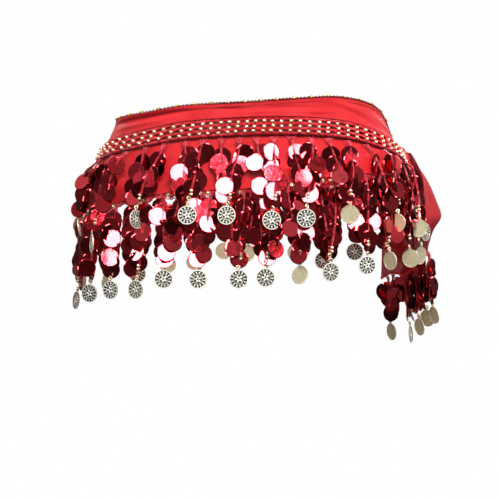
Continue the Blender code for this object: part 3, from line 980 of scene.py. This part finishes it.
def finish_dangles(name, made, luck, *nodes):
    """Joins each kind of part of a row of dangles into one piece."""
    threads, discs, rings, beads, coins = made
    finish_piece(join_parts(f"{name}_threads", threads), leg_material, "crochet", *nodes)
    tones = [luck.uniform(0, 1) for _ in discs]
    piece = join_parts(f"{name}_paillettes", discs, smooth_under=8, tone=tones)
    finish_piece(piece, foil_material, "sequins")
    finish_piece(join_parts(f"{name}_rings", rings), bead_material, "gold_beads")
    finish_piece(join_parts(f"{name}_beads", beads), bead_material, "gold_beads")
    piece = join_parts(f"{name}_coins", coins, smooth_under=40)
    held = piece.data.attributes.new("depth", "FLOAT", "POINT")
    # Each coin's face is darkened by a random amount: partly tarnish, partly painted shade for coins turned
    # from the light.
    tarnish_and_shade = luck.uniform(0, TARNISH_AND_SHADE, (len(coins), 1)) * (coin_depth != BACK_WEAR)
    held.data.foreach_set("value", (coin_depth + tarnish_and_shade).ravel().astype(np.float32))
    finish_piece(piece, coin_material, "coins")


def strip_hang(line):
    """Hangs things under a line of the strip, whose height at each angle line(strip) gives."""

    def hang(angle, below, proud):
        height = line(read_table(STRIP, angle)) - below
        return hip_point(angle, height, proud + fold(angle, height))

    return hang


under_band = strip_hang(lambda strip: strip.band - strip.band_half - 0.0032)
under_hem = strip_hang(lambda strip: strip.band - strip.below - 0.0025)
luck = np.random.RandomState(41)
finish_dangles("upper", make_dangles(UPPER, UPPER_SEEN, under_band, luck), luck, "fringe_upper")
finish_dangles("lower", make_dangles(LOWER, LOWER_SEEN, under_hem, luck), luck, "fringe_lower")


# The hem chain
# A crocheted chain worked along the lower hem, from which the lower dangles hang. A small rosette of loops
# with a gold bead at each side of it sits over each dangle.
HEM_LENGTH = 0.80
HEM_START, HEM_END = -235.5, 91.5
HEM_ZIGZAGS = 150
HEM_PROUD = 0.0012
LOOPS_IN_FAN = 5
FAN_REACH, FAN_PROUD = 0.0034, 0.0026
HEM_BEAD_SIDE = 0.0043
hem_cord = twisted_cord(BAND_PLY, BAND_PITCH, HEM_LENGTH)


def hem_row(lift, wave):
    """A cord along the hem, this far below it, that zigzags this much."""

    def below_hem(strip, angle):
        share = (angle - HEM_START) / (HEM_END - HEM_START) * HEM_ZIGZAGS
        return -strip.below - lift + wave * np.sin(math.pi * share)

    return lay_cord(hem_cord, strip_line(below_hem, HEM_PROUD, HEM_START, HEM_END))


# A dark cord just under the hem: partly the dark chain and partly painted shade under the hem's edge.
finish_piece(join_parts("hem_dark_row", [hem_row(0.0002, 0.0)]), dark_thread_and_shade_material, "crochet")
hem_parts = [hem_row(0.0016, 0.0011), hem_row(0.0030, -0.0011)]
loop = ring_bead("loop", 0.0013, 0.00055, 0.0011)
hem_beads = []
for i in range(LOWER.count):
    spot, out = hang_one(under_hem, LOWER.first + LOWER.step * i, 0.0, FAN_PROUD)
    side = np.cross(UP, out)
    for turn in np.arange(LOOPS_IN_FAN) * 360 / LOOPS_IN_FAN + luck.uniform(0, 60):
        reach = side * math.cos(math.radians(turn)) + UP * math.sin(math.radians(turn))
        axes = axes_at(out) @ turn_matrix(0, luck.uniform(-25, 25), luck.uniform(-25, 25))
        hem_parts.append(placed(loop, axes, spot + reach * FAN_REACH * luck.uniform(0.8, 1.1)))
    for way in (-1, 1):
        place = spot + side * way * HEM_BEAD_SIDE * luck.uniform(0.8, 1.1) + out * 0.0010
        hem_beads.append(placed(bead, axes_at(out) @ turn_matrix(20, 0, luck.uniform(-40, 40)), place))
finish_piece(join_parts("hem_chain", hem_parts), thread_material, "crochet")
finish_piece(join_parts("hem_beads", hem_beads), bead_material, "gold_beads")


# The knot
# The two ends of the strip are tied in one overhand knot at the right hip: the cloth gathers into both
# sides of it in small pleats, and one turn of cloth lies across its front.
KNOT_HEIGHT = -0.0095
KNOT_SIDES, KNOT_RINGS = 72, 90
PLEATS = 11
PLEAT_DEPTH = 0.14
WRAP_DEPTH = 0.15
Knot = namedtuple("Knot", "angle half_height half_depth")
KNOT = (
    Knot(101.0, 0.0172, 0.0026),
    Knot(102.6, 0.0155, 0.0050),
    Knot(104.4, 0.0115, 0.0070),
    Knot(105.6, 0.0170, 0.0110),
    Knot(107.4, 0.0205, 0.0135),
    Knot(110.0, 0.0215, 0.0145),
    Knot(112.6, 0.0205, 0.0135),
    Knot(114.4, 0.0170, 0.0110),
    Knot(115.6, 0.0115, 0.0070),
    Knot(117.4, 0.0155, 0.0050),
    Knot(119.0, 0.0172, 0.0026),
)


def knot_shape():
    """A cylinder laid round the hip, swelled to the table's sizes and creased where the cloth gathers."""
    bpy.ops.object.select_all(action="DESELECT")
    bpy.ops.mesh.primitive_cylinder_add(vertices=KNOT_SIDES, radius=1, depth=1, end_fill_type="TRIFAN")
    made = bpy.context.object
    made.name = made.data.name = "knot_cloth"
    bpy.ops.object.mode_set(mode="EDIT")
    for i in range(1, KNOT_RINGS):
        bpy.ops.mesh.select_all(action="SELECT")
        bpy.ops.mesh.bisect(plane_co=(0, 0, i / KNOT_RINGS - 0.5), plane_no=(0, 0, 1))
    bpy.ops.object.mode_set(mode="OBJECT")
    points = mesh_points(made.data)
    share = points[:, 2] + 0.5
    round_it = np.arctan2(points[:, 1], points[:, 0])
    reach = np.hypot(points[:, 0], points[:, 1])
    row = read_table(KNOT, KNOT[0].angle + (KNOT[-1].angle - KNOT[0].angle) * share)
    lean = 2.2 * np.sin(math.pi * share)
    ripple = np.sin(PLEATS * (round_it + lean) / 2 + 0.8 * np.sin(2 * round_it))
    pleat = 1 - PLEAT_DEPTH * np.abs(ripple) ** 0.8
    wrap = np.exp(-(((share - 0.5 + 0.10 * np.sin(round_it)) / 0.17) ** 4))
    swell = pleat - WRAP_DEPTH * (1 - wrap) * np.sin(math.pi * share) ** 2
    height = KNOT_HEIGHT + row.half_height * np.sin(round_it) * reach * swell
    proud = row.half_depth * (1 + np.cos(round_it) * reach * swell)
    made.data.vertices.foreach_set("co", hip_point(row.angle, height, proud)[0].ravel())
    made.data.update()
    normals_out()
    bpy.ops.object.shade_smooth_by_angle(angle=math.radians(60))
    return made


finish_piece(knot_shape(), dense_chiffon, "chiffon", "knot")


# The free ends
# Past the knot each end of the strip hangs free. The wide one stands away from the hip, and the narrow one
# lies under it. Both are one layer of chiffon in soft pleats, with the bead band running down their front
# half, a crocheted chain along the cut edge and dangles hung from it.
TAIL_FOLD_COUNT = 2
TAIL_COLUMNS, TAIL_ROWS = 72, 72
TAIL_BAND_START, TAIL_BAND_END = 0.53, 0.72
TAIL_BAND_REACH, TAIL_BAND_PROUD = 0.88, 0.0022
TAIL_BAND_LENGTH = 0.1352
TAIL_THREADS = (-1.0, -0.55, -0.15, 0.15, 0.55, 1.0)
TAIL_BEAD_ROWS = (-0.55, 0.0, 0.55)
TAIL_BEADS = 8
TAIL_CHAIN_PLY, TAIL_CHAIN_PITCH, TAIL_CHAIN_LENGTH = 0.0009, 0.0050, 0.070
TAIL_CHAIN_DROP, TAIL_ROOT_DROP = 0.0005, 0.0017
TAIL_HEM_WAVES, TAIL_HEM_WAVE = 1.6, 0.0024
Tail = namedtuple("Tail", "along height slant rear_angle front_angle rear_proud peak_proud front_proud fold")

# Creases that run down a free end: the share of its width where each starts at the knot and ends at the
# edge, the shares of its length between which it shows, how deep it is (a trough is negative) and how wide.
Pleat = namedtuple("Pleat", "top foot start end depth width")
FreeEnd = namedtuple("FreeEnd", "rows pleats")
TAIL_BACK = FreeEnd(
    (
        Tail(0.00, -0.0010, 0.000, 107.2, 112.8, 0.0282, 0.0286, 0.0282, 0.0000),
        Tail(0.11, -0.0100, 0.000, 106.0, 114.0, 0.0286, 0.0296, 0.0286, 0.0000),
        Tail(0.30, -0.0290, 0.000, 101.0, 116.0, 0.0230, 0.0350, 0.0280, 0.0010),
        Tail(0.50, -0.0500, 0.000, 95.5, 118.0, 0.0150, 0.0400, 0.0265, 0.0020),
        Tail(0.65, -0.0670, 0.002, 92.8, 119.0, 0.0138, 0.0430, 0.0255, 0.0024),
        Tail(0.80, -0.0820, 0.003, 92.6, 118.5, 0.0124, 0.0280, 0.0200, 0.0018),
        Tail(1.00, -0.1050, 0.003, 92.8, 117.5, 0.0114, 0.0160, 0.0145, 0.0012),
    ),
    (
        Pleat(0.14, 0.06, 0.10, 0.78, -0.0024, 0.035),
        Pleat(0.22, 0.17, 0.04, 0.96, 0.0029, 0.042),
        Pleat(0.30, 0.27, 0.12, 0.62, -0.0022, 0.030),
        Pleat(0.38, 0.41, 0.02, 0.86, -0.0028, 0.036),
        Pleat(0.80, 0.83, 0.08, 0.90, -0.0021, 0.032),
        Pleat(0.88, 0.92, 0.16, 0.70, 0.0019, 0.028),
    ),
)
TAIL_FRONT = FreeEnd(
    (
        Tail(0.00, -0.0309, 0.000, 107.5, 113.5, 0.0125, 0.0165, 0.0125, 0.0000),
        Tail(0.25, -0.0540, 0.000, 105.0, 115.5, 0.0075, 0.0120, 0.0080, 0.0008),
        Tail(0.60, -0.0850, -0.005, 101.5, 118.0, 0.0045, 0.0080, 0.0050, 0.0014),
        Tail(1.00, -0.1210, -0.012, 100.0, 119.0, 0.0042, 0.0075, 0.0048, 0.0014),
    ),
    (
        Pleat(0.10, 0.12, 0.06, 0.88, 0.0020, 0.040),
        Pleat(0.24, 0.20, 0.02, 0.70, -0.0022, 0.034),
        Pleat(0.36, 0.31, 0.18, 1.10, 0.0027, 0.044),
        Pleat(0.42, 0.43, 0.05, 0.82, -0.0024, 0.032),
        Pleat(0.84, 0.86, 0.10, 1.05, -0.0022, 0.036),
    ),
)
TAIL_BACK_DANGLES = Dangles(0.14, 0.27, 3, 0.0745, 5, 0.0018, 0.0044, 0)
TAIL_FRONT_DANGLES = Dangles(0.17, 0.33, 3, 0.0745, 5, 0.0018, 0.0044, 0)


def tail_point(tail, across, along):
    """Points on a free end, from its rear edge to its front edge and from the knot down."""
    row = read_table(tail.rows, along)
    angle = row.rear_angle + (row.front_angle - row.rear_angle) * across
    edge = row.rear_proud + (row.front_proud - row.rear_proud) * across
    bulge = (row.peak_proud - (row.rear_proud + row.front_proud) / 2) * np.sin(math.pi * across)
    lift = row.fold * np.sin(2 * math.pi * TAIL_FOLD_COUNT * across)
    for pleat in tail.pleats:
        shown = np.sin(math.pi * np.clip((along - pleat.start) / (pleat.end - pleat.start), 0, 1)) ** 0.8
        off = (across - pleat.top - (pleat.foot - pleat.top) * along) / pleat.width
        lift = lift + pleat.depth * shown * np.exp(-(off**2))
    wave = TAIL_HEM_WAVE * along**3 * np.sin(2 * math.pi * TAIL_HEM_WAVES * across)
    return hip_point(angle, row.height + row.slant * across + wave, edge + bulge + lift)[0]


def tail_frame(tail, across, along):
    """Places on a free end, the directions towards its front edge and those out of its face."""
    step = 0.01
    place = tail_point(tail, across, along)
    ahead = tail_point(tail, across + step, along) - tail_point(tail, across - step, along)
    above, below = np.maximum(along - step, 0), np.minimum(along + step, 1)
    up = tail_point(tail, across, above) - tail_point(tail, across, below)
    ahead /= np.linalg.norm(ahead, axis=-1, keepdims=True)
    out = np.cross(ahead, up)
    return place, ahead, out / np.linalg.norm(out, axis=-1, keepdims=True)


def tail_hang(tail):
    """Hangs things straight down from the cut edge of a free end."""

    def hang(across, below, proud):
        across, below, proud = as_arrays(across, below, proud)
        edge = tail_point(tail, across, np.ones_like(across))
        ahead = tail_point(tail, across + 0.02, np.ones_like(across)) - edge
        ahead[..., 2] = 0
        ahead /= np.linalg.norm(ahead, axis=-1, keepdims=True)
        out = np.stack([ahead[..., 1], -ahead[..., 0], np.zeros_like(across)], axis=-1)
        return edge + out * proud[..., None] - UP * (below + TAIL_ROOT_DROP)[..., None], out

    return hang


def tail_band_line(tail, column):
    """A path down a free end, at this share of its width."""

    def path(share):
        place, ahead, out = tail_frame(tail, np.full_like(share, column), share * TAIL_BAND_REACH)
        return place + out * TAIL_BAND_PROUD, ahead, out

    return path


def tail_hem_line(tail):
    """A path along the cut edge of a free end, just under the cloth."""

    def path(share):
        place, ahead, out = tail_frame(tail, share, np.ones_like(share))
        return place - UP * TAIL_CHAIN_DROP, np.cross(out, ahead), out

    return path


# The free ends are the same cloth as the strip. Their lower opacity is the sheerness of one layer, and their
# darker colours are painted shade.
sheer_chiffon_painted_shade = chiffon("sheer_chiffon_painted_shade", 0.84, "a8101a", "c41a22")
tail_cord = twisted_cord(BAND_PLY, BAND_PITCH, TAIL_BAND_LENGTH)
tail_chain = twisted_cord(TAIL_CHAIN_PLY, TAIL_CHAIN_PITCH, TAIL_CHAIN_LENGTH)
for name, tail, dangles in (
    ("tail_back", TAIL_BACK, TAIL_BACK_DANGLES), ("tail_front", TAIL_FRONT, TAIL_FRONT_DANGLES)
):
    cloth = grid_sheet(f"{name}_cloth", TAIL_COLUMNS, TAIL_ROWS, partial(tail_point, tail))
    face_out(cloth)
    thicken(cloth, CLOTH_WALL)
    finish_piece(cloth, sheer_chiffon_painted_shade, "chiffon", name)

    middle = (TAIL_BAND_START + TAIL_BAND_END) / 2
    half = (TAIL_BAND_END - TAIL_BAND_START) / 2
    threads = [lay_cord(tail_cord, tail_band_line(tail, middle + half * share)) for share in TAIL_THREADS]
    threads.append(lay_cord(tail_chain, tail_hem_line(tail)))
    finish_piece(join_parts(f"{name}_band_threads", threads), thread_material, "crochet", f"{name}_band")
    beads = []
    for share in TAIL_BEAD_ROWS:
        line = tail_band_line(tail, middle + half * share)
        spots, ahead, out = line((np.arange(TAIL_BEADS) + 0.7) / TAIL_BEADS)
        beads += turned(bead, spots + out * 0.0010, ahead, out, np.cross(out, ahead))
    finish_piece(join_parts(f"{name}_band_beads", beads), bead_material, "gold_beads")
    made = make_dangles(dangles, (), tail_hang(tail), luck)
    finish_dangles(f"{name}_dangle", made, luck, f"{name}_fringe")


# The studio
# A white sweep, the small soft boxes that only shiny pieces mirror, and four softer lights for the cloth
# that nothing mirrors. What the paillettes mirror is mostly dark, as in a studio, so that each one reads as
# bright, red or almost black.
FLOOR_HEIGHT = -0.90
LENS = 167.8
CLOTH_LIGHTS = (
    SoftBox(16, 50, 0.70, 15),
    SoftBox(-70, 20, 0.60, 3),
    SoftBox(95, 30, 0.60, 5),
    SoftBox(175, 40, 0.80, 9),
)

bpy.ops.object.select_all(action="DESELECT")
bpy.ops.mesh.primitive_circle_add(vertices=64, radius=9, fill_type="NGON", location=(0, 0, FLOOR_HEIGHT))
floor = bpy.context.object
floor.name = "floor"
bpy.ops.object.transform_apply()
floor.visible_diffuse = floor.visible_glossy = False
floor_material, _, floor_shader = new_material("white_sweep")
set_shader(floor_shader, Base_Color=(0, 0, 0, 1), Specular_IOR_Level=0.0)
set_shader(floor_shader, Emission_Color=(1, 1, 1, 1), Emission_Strength=1.0)
floor.data.materials.append(floor_material)


def stand(thing, azimuth, rise, distance):
    """Puts a lamp or camera in the studio, turned to the scarf."""
    bpy.context.collection.objects.link(thing)
    thing.location = studio_place(azimuth, rise, distance)
    thing.rotation_euler = (AIM - thing.location).to_track_quat("-Z", "Y").to_euler()


for name, boxes, unseen in (
    ("soft_box", SOFT_BOXES, "visible_diffuse"), ("cloth_light", CLOTH_LIGHTS, "visible_glossy")
):
    for number, box in enumerate(boxes):
        data = bpy.data.lights.new(f"{name}_{number}", "AREA")
        data.shape = "SQUARE"
        data.size = box.size
        data.energy = 4 * box.glow * box.size**2
        lamp = bpy.data.objects.new(data.name, data)
        stand(lamp, box.azimuth, box.rise, BOX_DISTANCE)
        lamp.visible_camera = False
        setattr(lamp, unseen, False)

world = bpy.data.worlds.new("studio")
bpy.context.scene.world = world
world.use_nodes = True
sky = world.node_tree
direction = add_node(sky, "ShaderNodeTexCoord").outputs["Generated"]
rise = add_node(sky, "ShaderNodeSeparateXYZ", links={"Vector": direction})
rise_share = add_node(
    sky, "ShaderNodeMapRange", inputs={"From Min": -1.0, "From Max": 1.0}, links={"Value": rise.outputs["Z"]}
)
room = add_node(sky, "ShaderNodeValToRGB", links={"Fac": rise_share.outputs["Result"]})
stops = room.color_ramp.elements
stops[0].position, stops[0].color = 0.0, (0.30, 0.30, 0.30, 1)
stops[1].position, stops[1].color = 1.0, (0.9, 0.9, 0.9, 1)
for position, level in ((0.42, 0.10), (0.56, 0.05), (0.68, 0.22), (0.80, 0.55)):
    stop = stops.new(position)
    stop.color = (level, level, level, 1)
rays = add_node(sky, "ShaderNodeLightPath")
patches = add_node(
    sky, "ShaderNodeTexNoise", inputs={"Scale": 9.0, "Detail": 2.0}, links={"Vector": direction}
)
patch_level = add_node(
    sky, "ShaderNodeMapRange", inputs={"From Min": 0.38, "From Max": 0.66, "To Min": 0.16, "To Max": 2.1},
    links={"Value": patches.outputs["Fac"]},
)
uneven_room = add_node(
    sky, "ShaderNodeVectorMath", settings={"operation": "SCALE"},
    links={0: room.outputs["Color"], "Scale": patch_level.outputs["Result"]},
)
surround = add_node(
    sky, "ShaderNodeMix", settings={"data_type": "RGBA"},
    links={"Factor": rays.outputs["Is Glossy Ray"], 7: uneven_room.outputs[0]},
)
surround.inputs[6].default_value = (0.22, 0.22, 0.23, 1)
seen = add_node(
    sky, "ShaderNodeMix", settings={"data_type": "RGBA"},
    links={"Factor": rays.outputs["Is Camera Ray"], 6: surround.outputs[2]},
)
seen.inputs[7].default_value = (1, 1, 1, 1)
sky.links.new(seen.outputs[2], sky.nodes["Background"].inputs["Color"])

camera_data = bpy.data.cameras.new("camera")
camera_data.lens = LENS
camera_data.clip_start, camera_data.clip_end = 0.05, 30
camera = bpy.data.objects.new("camera", camera_data)
stand(camera, 0, CAMERA_RISE, CAMERA_DISTANCE)
bpy.context.scene.camera = camera
bpy.context.scene.view_settings.view_transform = "Standard"
